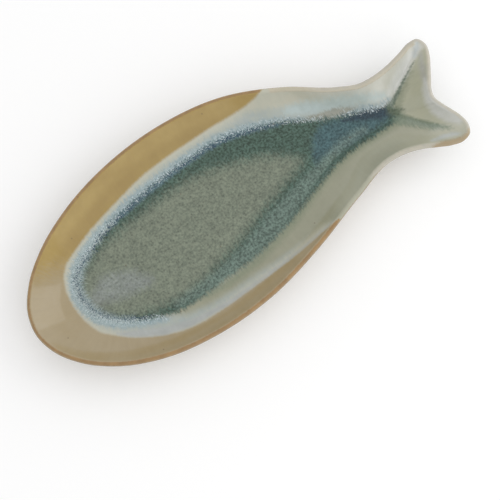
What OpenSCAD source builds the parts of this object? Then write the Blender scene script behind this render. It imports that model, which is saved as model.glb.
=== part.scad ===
// Fish shaped serving platter in glazed stoneware, seen from above as a fish with a forked tail.
// A pressed clay dish stands on a low foot ring, and coats of different glazes cover both faces.
// +X runs from the nose to the tail, +Y to the fish's back, +Z up from the table. Millimetres.

/* [Platter] */
// Length from the nose to the tips of the tail
platter_length = 359; // [320:1:400]
// Width across the belly
platter_width = 156; // [140:1:175]
// Height of the lip above the table at mid length
rim_height = 29.5; // [27:0.5:34]
// How far the lip dips towards the nose and the tail
rim_dip = 2; // [0:0.1:3]
// Thickness of the rounded lip
lip_thickness = 4.4; // [3.6:0.1:5.2]

/* [Well] */
// Height of the well floor above the table
floor_level = 9.7; // [8.5:0.1:11]
// Width of the inside wall in plan, from the lip to the well floor
wall_run = 31; // [28:0.5:34]

/* [Foot ring] */
// Height of the foot ring
foot_height = 3; // [2:0.1:4]
// Width of the ring's ground face
foot_width = 5; // [3:0.5:7]
// How far outside the edge of the well floor the dish reaches its flat underside
foot_setback = 11; // [9.5:0.5:12.5]
// Ledge of bare clay between the outside wall and the ring
foot_ledge = 0.6; // [0.3:0.1:1.2]

/* [Glaze] */
// Depth of the glaze on the lip, where it breaks thin and brown
lip_glaze = 0.3; // [0.2:0.05:0.5]
// Depth of the glaze on the inside wall
wall_glaze = 0.5; // [0.3:0.05:0.8]
// Depth of the glaze that pools on the well floor
pool_glaze = 0.9; // [0.6:0.05:1.4]
// Depth of the glaze on the outside and the underside
outside_glaze = 0.4; // [0.2:0.05:0.7]

/* [Hidden] */

half_length = platter_length / 2;
half_width = platter_width / 2;
lip_r = lip_thickness / 2;
// Plan distance from the outline to the edge of the well floor
well_inset = lip_thickness + wall_run;
// Plan distance from the outline to the edge of the flat underside
base_inset = well_inset - foot_setback;

// Curve steps between two neighbouring points of an outline
STEPS = 3;
FOOT_STEPS = 6;

// Stations along the middle line of the fish, which forks into the two lobes of the tail. Each one:
// name, x and y as shares of the half length and the half width, how far the inside and the
// underside have risen there as shares of their full rise, and the flat share of the way to the rim
station_shares = [
    ["head", -0.62, -0.10, 0, 0, 0.30],
    ["cheek", -0.37, -0.01, 0, 0, 0.30],
    ["belly", -0.11, 0, 0, 0, 0.30],
    ["back", 0.16, 0.06, 0, 0, 0.30],
    ["hip", 0.41, 0.08, 0, 0, 0.30],
    ["waist", 0.59, 0.01, 0, 0, 0.30],
    ["neck", 0.68, -0.05, 0.02, 0, 0.18],
    ["fork", 0.745, -0.06, 0.06, 0.10, 0.10],
    ["far_root", 0.80, 0.13, 0.13, 0.16, 0.07],
    ["far_lobe", 0.865, 0.22, 0.34, 0.29, 0.07],
    ["far_tip", 0.952, 0.325, 0.80, 0.63, 0.07],
    ["near_root", 0.80, -0.23, 0.28, 0.23, 0.07],
    ["near_lobe", 0.845, -0.38, 0.55, 0.44, 0.07],
    ["near_tip", 0.912, -0.56, 0.80, 0.63, 0.07]
];

// Outline, from the nose along the back to the tail and home along the belly. Each point: the
// station that it faces, x and y as above, and the share of the inside wall under amber glaze
outline_shares = [
    ["head", -1, -0.10, 0.80],
    ["head", -0.983, 0.115, 0.78],
    ["head", -0.92, 0.34, 0.74],
    ["head", -0.81, 0.56, 0.70],
    ["head", -0.645, 0.765, 0.65],
    ["cheek", -0.40, 0.938, 0.62],
    ["belly", -0.134, 1, 0.56],
    ["back", 0.145, 0.93, 0.28],
    ["hip", 0.40, 0.688, 0.08],
    ["waist", 0.58, 0.428, 0.10],
    ["neck", 0.675, 0.34, 0.10],
    ["fork", 0.735, 0.334, 0.10],
    ["far_root", 0.805, 0.353, 0.15],
    ["far_lobe", 0.88, 0.395, 0.20],
    ["far_tip", 0.94, 0.435, 0.25],
    ["far_tip", 0.981, 0.425, 0.25],
    ["far_tip", 1, 0.34, 0.25],
    ["far_tip", 0.987, 0.22, 0.25],
    ["far_lobe", 0.961, 0.115, 0.20],
    ["far_root", 0.936, 0.02, 0.15],
    ["fork", 0.911, -0.075, 0.10],
    ["fork", 0.903, -0.16, 0.10],
    ["fork", 0.914, -0.24, 0.10],
    ["near_root", 0.933, -0.335, 0.15],
    ["near_lobe", 0.951, -0.435, 0.20],
    ["near_tip", 0.958, -0.54, 0.35],
    ["near_tip", 0.943, -0.625, 0.40],
    ["near_tip", 0.90, -0.662, 0.40],
    ["near_lobe", 0.852, -0.64, 0.30],
    ["near_root", 0.79, -0.577, 0.20],
    ["fork", 0.735, -0.52, 0.10],
    ["neck", 0.67, -0.478, 0.10],
    ["waist", 0.59, -0.468, 0.08],
    ["hip", 0.41, -0.592, 0.06],
    ["back", 0.15, -0.808, 0.06],
    ["belly", -0.11, -0.962, 0.14],
    ["cheek", -0.368, -1, 0.30],
    ["head", -0.624, -0.913, 0.50],
    ["head", -0.786, -0.756, 0.60],
    ["head", -0.903, -0.551, 0.68],
    ["head", -0.975, -0.321, 0.76]
];

// Stations as numbers, and the first and the last point of the outline that faces a station
function station(name) = [for (k = [0 : len(station_shares) - 1]) if (station_shares[k][0] == name) k][0];
function points_facing(name) = [
    for (j = [0 : len(outline_shares) - 1]) if (outline_shares[j][0] == name) j
];
function first_facing(name) = min(points_facing(name));
function last_facing(name) = max(points_facing(name));
FORK = station("fork");
NEAR_ROOT = station("near_root");

// Points of the outline between which the glazes change, and where the foot ring's tail end starts
AMBER_BACK_END = first_facing("hip");
AMBER_BELLY_START = last_facing("hip");
AMBER_TIP_START = first_facing("near_tip");
AMBER_TIP_END = last_facing("near_root");
OVERFLOW_START = first_facing("neck");
OVERFLOW_END = last_facing("neck");
FORK_BACK = first_facing("fork");
FORK_BELLY = last_facing("fork");
WAIST_BACK = first_facing("waist");
WAIST_BELLY = last_facing("waist");

// Points of the foot ring's tail end, as degrees from its back side. The ring's inner edge narrows
// to its end sooner, in lines short of the waist and by the power of its taper
FOOT_END_DEGREES = [30, 60, 90, 120, 150];
INNER_LINES_SHORT = 1;
INNER_TAPER = 3;

// Rows of the outside wall, as shares of the way from the lip to the flat underside
outside_row_shares = [1, 0.96, 0.78, 0.60, 0.40, 0.20];
// Rows round the lip, as degrees from level with the outermost edge
LIP_DEGREES = [-40, 0, 45, 90, 137];
// Rows that amber, white and green glaze each take on the inside wall
AMBER_ROWS = 3;
WHITE_ROWS = 4;
GREEN_ROWS = 2;
// Share of the inside wall above the edge of the green pool
pool_edge_share = 0.93;
// How far the glaze has deepened at that edge
pool_lip_share = 0.5;
// Bow of the inside and the outside wall, where 0 is straight
wall_bow_share = 0.8;
outside_bow_share = 0.15;
// Share of the way to the middle line that the outside wall may take in the narrow tail
narrow_share = 0.90;
// Least share of a length kept where a line meets the outline at a slant
slant_share = 0.5;

OUTSIDE_ROWS = len(outside_row_shares);
LIP_ROWS = len(LIP_DEGREES);
FIRST_LIP = OUTSIDE_ROWS + 1;
LAST_LIP = OUTSIDE_ROWS + LIP_ROWS;
AMBER_END = LAST_LIP + AMBER_ROWS;
WHITE_END = AMBER_END + WHITE_ROWS;
ROWS = WHITE_END + GREEN_ROWS;
// Row of the outside wall that the overflowing white glaze reaches down to
OVERFLOW_ROW = 4;

STATIONS = len(station_shares);
POINTS = len(outline_shares);
COUNT = POINTS * STEPS;
SPINE = STATIONS + (STATIONS - 1) * (STEPS - 1);

function mix(a, b, t) = a + (b - a) * t;
function unit(v) = v / norm(v);
function wrapped(list, i) = list[(i + len(list)) % len(list)];

// A smooth closed curve: the point at share t of the way from point j to the next, with its
// tangents weighted by the distances to the neighbours
function tangent(a, b, c) =
    let (before = norm(b - a), after = norm(c - b))
    ((b - a) / before * after + (c - b) / after * before) / (before + after);
function curve_at(points, j, t) =
    let (
        a = wrapped(points, j - 1),
        b = wrapped(points, j),
        c = wrapped(points, j + 1),
        d = wrapped(points, j + 2),
        span = norm(c - b)
    )
    b * (2 * t ^ 3 - 3 * t ^ 2 + 1) + c * (3 * t ^ 2 - 2 * t ^ 3)
    + tangent(a, b, c) * span * (t ^ 3 - 2 * t ^ 2 + t)
    + tangent(b, c, d) * span * (t ^ 3 - t ^ 2);
function curve(points, steps) = [
    for (j = [0 : len(points) - 1])
        for (s = [0 : steps - 1])
            curve_at(points, j, s / steps)
];

function place(share) = [share[0] * half_length, share[1] * half_width];
function numbers(row) = [for (k = [1 : len(row) - 1]) row[k]];
stations = [for (row = station_shares) numbers(row)];
corners = [for (row = outline_shares) place(numbers(row))];
outline = curve(corners, STEPS);
inward = [
    for (i = [0 : COUNT - 1])
        let (t = unit(wrapped(outline, i + 1) - wrapped(outline, i - 1)))
        [t[1], -t[0]]
];

// The middle line: first the stations, then the steps on the way to each station from the one
// before it. Each entry is x, y, inside rise, underside rise and flat share
function parent(k) = k == NEAR_ROOT ? FORK : k - 1;
spine = concat(
    stations,
    [
        for (k = [1 : STATIONS - 1])
            for (s = [1 : STEPS - 1])
                mix(stations[parent(k)], stations[k], s / STEPS)
    ]
);
function on_the_way(k, s) = STATIONS + (k - 1) * (STEPS - 1) + s - 1;
// Which entry of the middle line point i of the outline faces
facing = [
    for (j = [0 : POINTS - 1])
        for (s = [0 : STEPS - 1])
            let (a = station(outline_shares[j][0]), b = station(wrapped(outline_shares, j + 1)[0]))
            a == b || s == 0 ? a : a < b ? on_the_way(b, s) : on_the_way(a, STEPS - s)
];
amber = [
    for (j = [0 : POINTS - 1])
        for (s = [0 : STEPS - 1])
            mix(outline_shares[j][3], wrapped(outline_shares, j + 1)[3], s / STEPS)
];

function lip_z(x) = rim_height - rim_dip * (x / half_length) ^ 2;
function floor_z(entry) = mix(floor_level, rim_height, entry[2]);
function under_z(entry) = mix(foot_height, rim_height, entry[3]);

// One line from the outline in to the middle line, as plan point, direction, length, slant, height
// of the lip, and its entry of the middle line
lines = [
    for (i = [0 : COUNT - 1])
        let (entry = spine[facing[i]], reach = place(entry) - outline[i])
        [
            outline[i], unit(reach), norm(reach),
            max(slant_share, unit(reach) * inward[i]), lip_z(outline[i][0]), entry
        ]
];
function on_line(line, inset, z) = concat(line[0] + line[1] * inset, z);
function fall(t, bow) = 1 - (1 - t) ^ (1 + bow);

function lip_point(line, degrees) =
    on_line(line, lip_r * (1 - cos(degrees)) / line[3], line[4] - lip_r + lip_r * sin(degrees));
function outside_point(line, t) =
    let (
        top = line[4] - lip_r + lip_r * sin(LIP_DEGREES[0]),
        start = lip_r * (1 - cos(LIP_DEGREES[0])) / line[3],
        end = min(base_inset / line[3], line[2] * narrow_share)
    )
    on_line(line, mix(start, end, t), mix(top, under_z(line[5]), fall(t, outside_bow_share)));
function inside_point(line, t) =
    let (
        degrees = LIP_DEGREES[LIP_ROWS - 1],
        top = line[4] - lip_r + lip_r * sin(degrees),
        start = lip_r * (1 - cos(degrees)) / line[3],
        end = min(well_inset / line[3], line[2] * (1 - line[5][4])),
        bow = wall_bow_share * min(1, line[2] / well_inset)
    )
    on_line(line, mix(start, end, t), mix(top, floor_z(line[5]), fall(t, bow)));

// Share of the inside wall at a row below the lip
function inside_share(i, row) =
    row <= AMBER_ROWS ? amber[i] * row / AMBER_ROWS
    : row <= AMBER_ROWS + WHITE_ROWS ? mix(amber[i], pool_edge_share, (row - AMBER_ROWS) / WHITE_ROWS)
    : mix(pool_edge_share, 1, (row - AMBER_ROWS - WHITE_ROWS) / GREEN_ROWS);

// The finished face as rows of points: row 0 is the middle line below, rows 1 to ROWS run up the
// outside, over the lip and down the inside, and the row after them is the middle line above
function face_point(i, row) =
    let (line = lines[i])
    row == 0 ? concat(place(line[5]), under_z(line[5]))
    : row <= OUTSIDE_ROWS ? outside_point(line, outside_row_shares[row - 1])
    : row <= LAST_LIP ? lip_point(line, LIP_DEGREES[row - FIRST_LIP])
    : row <= ROWS ? inside_point(line, inside_share(i, row - LAST_LIP))
    : concat(place(line[5]), floor_z(line[5]));
face = [for (row = [0 : ROWS + 1]) [for (i = [0 : COUNT - 1]) face_point(i, row)]];

function in_fork(i) = i >= FORK_BACK * STEPS && i <= FORK_BELLY * STEPS;
// Depth of glaze at a point of the face: none on the bare strip that runs round the foot
function depth(i, row) =
    row <= 1 ? (in_fork(i) ? outside_glaze : 0)
    : row <= OUTSIDE_ROWS ? outside_glaze
    : row <= LAST_LIP ? lip_glaze
    : row < WHITE_END ? wall_glaze
    : row == WHITE_END ? mix(wall_glaze, pool_glaze, pool_lip_share)
    : pool_glaze;
function outward(i, row) =
    unit(cross(
        face[row + 1][i] - face[row - 1][i],
        wrapped(face[row], i + 1) - wrapped(face[row], i - 1)
    ));

finished = concat(
    [for (row = [1 : ROWS]) for (i = [0 : COUNT - 1]) face[row][i]],
    [for (entry = spine) concat(place(entry), under_z(entry))],
    [for (entry = spine) concat(place(entry), floor_z(entry))]
);
function forked(k) = k >= FORK && k < STATIONS || k >= on_the_way(FORK + 1, 1);
clay = concat(
    [for (row = [1 : ROWS]) for (i = [0 : COUNT - 1]) face[row][i] - outward(i, row) * depth(i, row)],
    [
        for (k = [0 : SPINE - 1])
            concat(place(spine[k]), under_z(spine[k]) + (forked(k) ? outside_glaze : 0))
    ],
    [for (entry = spine) concat(place(entry), floor_z(entry) - pool_glaze)]
);

// Number of a point in those lists
function number(i, row) =
    row == 0 ? ROWS * COUNT + facing[i % COUNT]
    : row == ROWS + 1 ? ROWS * COUNT + SPINE + facing[i % COUNT]
    : (row - 1) * COUNT + i % COUNT;
// Triangles of the patch between rows row and row + 1 and lines i and i + 1
function patch(i, row) =
    let (a = number(i, row), b = number(i + 1, row), c = number(i + 1, row + 1), d = number(i, row + 1))
    [if (a != b) [a, b, c], if (c != d) [a, c, d]];
function turned(triangles) = [for (t = triangles) [t[2], t[1], t[0]]];
function lifted(triangles) = [for (t = triangles) t + [1, 1, 1] * len(clay)];
// The side of a coat below the edge from point a to point b, facing left or right of that edge
function side(a, b, left) =
    let (top = len(clay), wall = [[a, b, b + top], [a, b + top, a + top]])
    left ? wall : turned(wall);

module clay_dish() {
    polyhedron(clay, [
        for (row = [0 : ROWS])
            for (i = [0 : COUNT - 1])
                each patch(i, row)
    ]);
}

// A coat of glaze between the clay and the finished face, wherever covers(i, row) is true
module coat(covers) {
    polyhedron(concat(clay, finished), [
        for (row = [0 : ROWS])
            for (i = [0 : COUNT - 1])
                if (covers(i, row))
                    each concat(
                        lifted(patch(i, row)),
                        turned(patch(i, row)),
                        row > 0 && !covers(i, row - 1)
                            ? side(number(i, row), number(i + 1, row), true) : [],
                        row < ROWS && !covers(i, row + 1)
                            ? side(number(i, row + 1), number(i + 1, row + 1), false) : [],
                        !covers((i + COUNT - 1) % COUNT, row)
                            ? side(number(i, row), number(i, row + 1), false) : [],
                        !covers((i + 1) % COUNT, row)
                            ? side(number(i + 1, row), number(i + 1, row + 1), true) : []
                    )
    ]);
}

function between(i, first, last) = i >= first * STEPS && i < last * STEPS;
function has_amber(i) =
    i < AMBER_BACK_END * STEPS || i >= AMBER_BELLY_START * STEPS
    || between(i, AMBER_TIP_START, AMBER_TIP_END);
function has_overflow(i) = between(i, OVERFLOW_START, OVERFLOW_END);

// Loop of the foot ring at a distance inside the edge of the flat underside. It leaves that edge a
// number of lines short of the waist, and its tail end reaches to the neck: half an ellipse with a
// taper of 1, and narrower with more
function foot_loop(inset, lines_short, taper) =
    let (
        at = function (i) let (line = lines[i]) line[0] + line[1] * (base_inset + inset) / line[3],
        back = at(WAIST_BACK * STEPS - lines_short),
        belly = at(WAIST_BELLY * STEPS + lines_short),
        middle = (back + belly) / 2,
        forward = place(stations[station("neck")]) - middle,
        reach = forward - unit(forward) * inset
    )
    curve(concat(
        [for (j = [0 : WAIST_BACK - 1]) at(j * STEPS)],
        [back],
        [
            for (turn = FOOT_END_DEGREES)
                middle + reach * sin(turn) + (back - middle) * sign(cos(turn)) * abs(cos(turn)) ^ taper
        ],
        [belly],
        [for (j = [WAIST_BELLY + 1 : POINTS - 1]) at(j * STEPS)]
    ), FOOT_STEPS);
outer_loop = foot_loop(foot_ledge, 0, 1);
inner_loop = foot_loop(foot_ledge + foot_width, INNER_LINES_SHORT, INNER_TAPER);

module dish_body() {
    color("#B9A58A") clay_dish();
}

module foot_ring() {
    color("#A89478")
        linear_extrude(foot_height)
            difference() {
                polygon(outer_loop);
                polygon(inner_loop);
            }
}

module outer_glaze() {
    color("#A79F8C")
        coat(function (i, row)
            row < FIRST_LIP && (row > 1 || between(i, FORK_BACK, FORK_BELLY))
            && !(has_overflow(i) && row >= OVERFLOW_ROW));
}

module base_glaze() {
    color("#9C9484")
        translate([0, 0, foot_height - outside_glaze])
            linear_extrude(outside_glaze)
                polygon(inner_loop);
}

module rim_glaze() {
    color("#8B6A45")
        coat(function (i, row) row >= FIRST_LIP && row < LAST_LIP);
}

module amber_glaze() {
    color("#BFA06A")
        coat(function (i, row) row >= LAST_LIP && row < AMBER_END && has_amber(i));
}

module white_glaze() {
    color("#C3CCCB")
        coat(function (i, row)
            row < WHITE_END && (row >= AMBER_END || row >= LAST_LIP && !has_amber(i)));
}

module green_glaze() {
    color("#6F8579")
        coat(function (i, row) row >= WHITE_END);
}

module tail_glaze() {
    color("#B9C2C6")
        coat(function (i, row) row >= OVERFLOW_ROW && row < FIRST_LIP && has_overflow(i));
}

dish_body();
foot_ring();
outer_glaze();
base_glaze();
rim_glaze();
amber_glaze();
white_glaze();
green_glaze();
tail_glaze();
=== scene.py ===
# Fish shaped serving platter: pressed stoneware in layered reactive glazes.
# Metres in the frame's own axes: +X from the nose to the tail, +Y to the fish's back, +Z up.
# The sizes and tables below are in millimetres and follow the part's source.
import math

import bpy
import numpy as np
from mathutils import Matrix, Vector


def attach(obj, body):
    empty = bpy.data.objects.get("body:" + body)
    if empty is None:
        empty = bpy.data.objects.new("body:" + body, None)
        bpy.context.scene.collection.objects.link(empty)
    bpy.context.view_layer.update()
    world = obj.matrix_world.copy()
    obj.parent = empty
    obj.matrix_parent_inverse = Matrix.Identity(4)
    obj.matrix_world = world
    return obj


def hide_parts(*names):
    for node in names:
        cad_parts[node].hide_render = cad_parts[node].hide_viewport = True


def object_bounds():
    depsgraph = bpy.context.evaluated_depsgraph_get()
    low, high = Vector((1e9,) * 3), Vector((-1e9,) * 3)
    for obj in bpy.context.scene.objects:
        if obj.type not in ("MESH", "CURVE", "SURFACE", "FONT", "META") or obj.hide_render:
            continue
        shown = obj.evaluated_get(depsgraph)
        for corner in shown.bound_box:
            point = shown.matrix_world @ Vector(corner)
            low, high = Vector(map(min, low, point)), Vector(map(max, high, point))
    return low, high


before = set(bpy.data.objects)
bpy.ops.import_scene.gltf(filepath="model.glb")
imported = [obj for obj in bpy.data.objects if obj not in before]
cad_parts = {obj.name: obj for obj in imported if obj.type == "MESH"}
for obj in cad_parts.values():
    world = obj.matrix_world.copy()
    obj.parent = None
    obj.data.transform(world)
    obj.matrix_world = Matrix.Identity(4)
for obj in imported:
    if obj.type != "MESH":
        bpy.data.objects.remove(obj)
cad_low, cad_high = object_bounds()

MM = 0.001

# Sizes of the platter
PLATTER_LENGTH = 359
PLATTER_WIDTH = 156
RIM_HEIGHT = 29.5
RIM_DIP = 2
LIP_THICKNESS = 4.4
FLOOR_LEVEL = 9.7
WALL_RUN = 31
FOOT_HEIGHT = 3
FOOT_SETBACK = 11
LIP_GLAZE = 0.3
WALL_GLAZE = 0.5
POOL_GLAZE = 0.9
OUTSIDE_GLAZE = 0.4

HALF_LENGTH = PLATTER_LENGTH / 2
HALF_WIDTH = PLATTER_WIDTH / 2
LIP_R = LIP_THICKNESS / 2
WELL_INSET = LIP_THICKNESS + WALL_RUN
BASE_INSET = WELL_INSET - FOOT_SETBACK
HALF = np.array([HALF_LENGTH, HALF_WIDTH])

# Shares for the inside wall: where the pool starts, how deep its edge is between the wall's glaze and
# its own, and how far the wall bows
POOL_EDGE_SHARE = 0.93
POOL_LIP_SHARE = 0.5
WALL_BOW_SHARE = 0.8
# Shares for the outside wall: its bow, how much of the way to the middle line it may take, the least
# slant of a line to the outline, where the bare foot starts and where the tail's overflow ends
OUTSIDE_BOW_SHARE = 0.15
NARROW_SHARE = 0.90
SLANT_SHARE = 0.5
BARE_SHARE = 0.96
OVERFLOW_SHARE = 0.60
# Shares for the depth of the glaze: of the amber wall, after which it is full, of the white wall, from
# which it swells toward the pool, and of the pool's edge, after which the pool is full
ONSET_SHARE = 1 / 3
SWELL_SHARE = 0.75
SETTLE_SHARE = 0.5
# Turns at which the round lip starts outside, is highest and ends inside
LIP_OUTSIDE_DEGREES = -40
LIP_CREST_DEGREES = 90
LIP_INSIDE_DEGREES = 137

# Stations of the middle line: name, x and y as shares of the half sizes, rise of the inside, rise of
# the underside, and the flat share of the way to the rim
STATION_SHARES = [
    ("head", -0.62, -0.10, 0, 0, 0.30),
    ("cheek", -0.37, -0.01, 0, 0, 0.30),
    ("belly", -0.11, 0, 0, 0, 0.30),
    ("back", 0.16, 0.06, 0, 0, 0.30),
    ("hip", 0.41, 0.08, 0, 0, 0.30),
    ("waist", 0.59, 0.01, 0, 0, 0.30),
    ("neck", 0.68, -0.05, 0.02, 0, 0.18),
    ("fork", 0.745, -0.06, 0.06, 0.10, 0.10),
    ("far_root", 0.80, 0.13, 0.13, 0.16, 0.07),
    ("far_lobe", 0.865, 0.22, 0.34, 0.29, 0.07),
    ("far_tip", 0.952, 0.325, 0.80, 0.63, 0.07),
    ("near_root", 0.80, -0.23, 0.28, 0.23, 0.07),
    ("near_lobe", 0.845, -0.38, 0.55, 0.44, 0.07),
    ("near_tip", 0.912, -0.56, 0.80, 0.63, 0.07),
]

# Outline from the nose along the back to the tail and home along the belly: station faced, x, y, and
# the share of the inside wall under amber glaze
OUTLINE_SHARES = [
    ("head", -1, -0.10, 0.80),
    ("head", -0.983, 0.115, 0.78),
    ("head", -0.92, 0.34, 0.74),
    ("head", -0.81, 0.56, 0.70),
    ("head", -0.645, 0.765, 0.65),
    ("cheek", -0.40, 0.938, 0.62),
    ("belly", -0.134, 1, 0.56),
    ("back", 0.145, 0.93, 0.28),
    ("hip", 0.40, 0.688, 0.08),
    ("waist", 0.58, 0.428, 0.10),
    ("neck", 0.675, 0.34, 0.10),
    ("fork", 0.735, 0.334, 0.10),
    ("far_root", 0.805, 0.353, 0.15),
    ("far_lobe", 0.88, 0.395, 0.20),
    ("far_tip", 0.94, 0.435, 0.25),
    ("far_tip", 0.981, 0.425, 0.25),
    ("far_tip", 1, 0.34, 0.25),
    ("far_tip", 0.987, 0.22, 0.25),
    ("far_lobe", 0.961, 0.115, 0.20),
    ("far_root", 0.936, 0.02, 0.15),
    ("fork", 0.911, -0.075, 0.10),
    ("fork", 0.903, -0.16, 0.10),
    ("fork", 0.914, -0.24, 0.10),
    ("near_root", 0.933, -0.335, 0.15),
    ("near_lobe", 0.951, -0.435, 0.20),
    ("near_tip", 0.958, -0.54, 0.35),
    ("near_tip", 0.943, -0.625, 0.40),
    ("near_tip", 0.90, -0.662, 0.40),
    ("near_lobe", 0.852, -0.64, 0.30),
    ("near_root", 0.79, -0.577, 0.20),
    ("fork", 0.735, -0.52, 0.10),
    ("neck", 0.67, -0.478, 0.10),
    ("waist", 0.59, -0.468, 0.08),
    ("hip", 0.41, -0.592, 0.06),
    ("back", 0.15, -0.808, 0.06),
    ("belly", -0.11, -0.962, 0.14),
    ("cheek", -0.368, -1, 0.30),
    ("head", -0.624, -0.913, 0.50),
    ("head", -0.786, -0.756, 0.60),
    ("head", -0.903, -0.551, 0.68),
    ("head", -0.975, -0.321, 0.76),
]

# Lines between two points of the outline, and rows of each part of the section
STEPS = 12
UNDER_ROWS = 4
OUTSIDE_ROWS = 18
LIP_ROWS = 14
AMBER_ROWS = 12
WHITE_ROWS = 18
POOL_EDGE_ROWS = 5
FLOOR_ROWS = 20
# Rounds of smoothing that soften the folds of the tail, how many rows under the lip they leave alone,
# and the least length in mm by which an edge counts
SMOOTHING_ROUNDS = 12
LIP_GUARD_ROWS = 2
SHORTEST_EDGE = 0.2
# Way down from the crest of the lip from which the halo turns blue, and how wide its cream edge is
LOW_WALL_WAY = 16
HALO_CREAM = 3.5
# Middle of the brown line along the head's lip and its half width at some y, half width of the cream
# line along the tail's far lip, and where a thin brown line starts on its outer side, as ways from the
# crest
BROWN_LIP_WAY = -0.9
BROWN_LIP_HALVES = [(-60, 1.5), (0, 0.8), (60, 1.3)]
CREAM_LIP_HALF = 2.2
LIP_EDGE_WAY = -2.3
# Where the overflow starts inside the crest, how deep it may be where the brown edge still shows, how
# fast that edge fades there, and half the width of the tan line along the overflow's foot
SPILL_TOP = 0.5
LIP_EDGE_SPILL = 3
LIP_EDGE_FADE = 0.2
SPILL_FOOT_HALF = 0.9
# The far side's amber glaze is thicker and darker below this way from the crest, and beyond this y
THICK_AMBER_WAY = 13
THICK_AMBER_FROM = 30
# A depth well outside any zone
NOWHERE = -9

# The foot ring: its width, the bare ledge outside it, the turns of its tail end, how much earlier
# its inner edge ends there in the source's own steps and by which power it tapers, those steps from
# one point of the outline to the next, and the steps of its loops here
FOOT_WIDTH = 5
FOOT_LEDGE = 0.6
FOOT_END_DEGREES = [30, 60, 90, 120, 150]
INNER_STEPS_SHORT = 1
INNER_TAPER = 3
SOURCE_STEPS = 3
FOOT_STEPS = 18


# Where the glazes lie, in millimetres in plan. A pool is a closed border, and a run is a line with
# its half width at each point
POOLS = {
    # Everything inside the line where the amber glaze stops
    "halo": [
        (-146, 0), (-145, 10.5), (-141, 20.6), (-135, 27), (-127.6, 31.2), (-117, 36), (-107, 40.2),
        (-94.5, 44.2), (-82, 47.8), (-72, 50.4), (-62, 53.2), (-49.5, 55.6), (-37, 57), (-24.5, 58),
        (-9.5, 58.6), (10.5, 59.1), (28, 58.2), (40.5, 57.8), (50, 58.6), (56, 60.4), (61, 64.5),
        (80, 90), (220, 90),
        (220, -90), (80, -90), (56, -56), (50.5, -52.4), (43, -52.9), (33, -54.4), (20.5, -56.3),
        (8, -57.9), (-7, -58.7), (-19.5, -59.8), (-32, -60.6), (-44.5, -61.6), (-57, -62.5),
        (-69.5, -62.9), (-79.5, -62), (-89.5, -60), (-99.5, -56.3), (-109.5, -51.3), (-119.5, -45.6),
        (-127, -40), (-133.3, -34.4), (-139, -28.8), (-142, -22.5), (-144.5, -15), (-145.7, -7.5),
    ],
    # The thick green glaze in the well
    "pool": [
        (-137.8, -14), (-140.6, 0), (-139.3, 10), (-134.8, 18.2), (-126.8, 24.5), (-114.5, 30.1),
        (-102.2, 35.2), (-91, 38.8), (-75, 42.2), (-60, 44.7), (-45, 47), (-32, 48.4), (-15, 49.6),
        (0, 50.2), (10, 49.8), (20, 48), (30, 45.4), (40, 42.8), (50, 39.6), (60, 35.4), (70, 30),
        (80, 24), (90, 19.8), (100, 16.2), (110, 12.4), (118, 8.2), (125.5, 4.6), (133, 5), (138, -1),
        (136, -8), (130.5, -10),
        (123, -9.8), (110.5, -11), (98, -11), (85.5, -12.4), (73, -15), (60.5, -19.5), (48, -23.5),
        (35.5, -28.5), (23, -32.5), (10.5, -35.5), (0, -38.6), (-20, -42), (-40, -43), (-60, -45.5),
        (-77, -46.5), (-90, -44), (-99.6, -40.4), (-108.5, -37.4), (-117.4, -33.1), (-125.7, -27.4),
        (-133, -20.2),
    ],
    # The thinner sage middle of the well floor
    "sage": [
        (-136, -8), (-137, 4), (-128, 16), (-108, 25.5), (-84, 30), (-60, 32.8), (-40, 35), (-20, 35),
        (0, 31), (20, 25), (30, 22), (40, 17), (48, 11), (54, 6), (55, 2.5), (45, -2), (30, -7), (15, -12),
        (0, -18), (-20, -25), (-40, -31), (-60, -36), (-80, -37), (-95, -35), (-108, -32), (-120, -27),
        (-131, -18),
    ],
    # The near wall, where the halo thins to olive
    "olive": [
        (-92, -42), (-80, -50.5), (-60, -54), (-40, -54), (-20, -53), (0, -53), (20, -52), (38, -50),
        (50, -53), (70, -60), (120, -50), (140, -34), (150, -30), (139, -14), (132, -6),
        (110, 0), (60, 0), (-20, -20), (-80, -30),
    ],
    # The side of the head where the amber turns greige
    "greige": [(-200, 31), (-136, 27), (-120, -20), (100, -20), (100, -100), (-200, -100)],
    # The far wall of the tail: its halo is cream, and it is painted brighter as painted light where the
    # light falls on it
    "lit_tail_wall": [
        (78, 60), (84, 42), (96, 31), (108, 24), (118, 17), (126, 10), (132, 4), (150, 9), (162, 16),
        (178, 24), (200, 40), (150, 70),
    ],
    # The far side of the tail, whose lip is cream
    "far_rim": [(60, 80), (60, 30), (130, 5), (160, 20), (172, 29), (174, 40), (150, 60), (100, 80)],
    # The near wall toward the tail, paler than the rest of the near wall
    "near_tail": [
        (46, -70), (58, -42), (88, -22), (104, -15), (120, -13), (134, -15), (145, -26), (153, -36),
        (162, -42), (175, -60),
    ],
    # The hump between the two grooves of the tail
    "hump": [(135, 1.5), (151, 11.5), (162, 17.5), (174, 24), (185, 20), (170, -20), (168, -40), (158, -33),
             (150, -25), (144, -17), (138, -8)],
    # The blue end of the pool before the tail
    "blue_end": [(72, 14), (84, 19), (98, 15), (112, 9), (124, 4), (130, 0), (126, -6), (100, -6.5),
                 (82, -6), (70, -4), (62, -7), (64, 2)],
}
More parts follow.
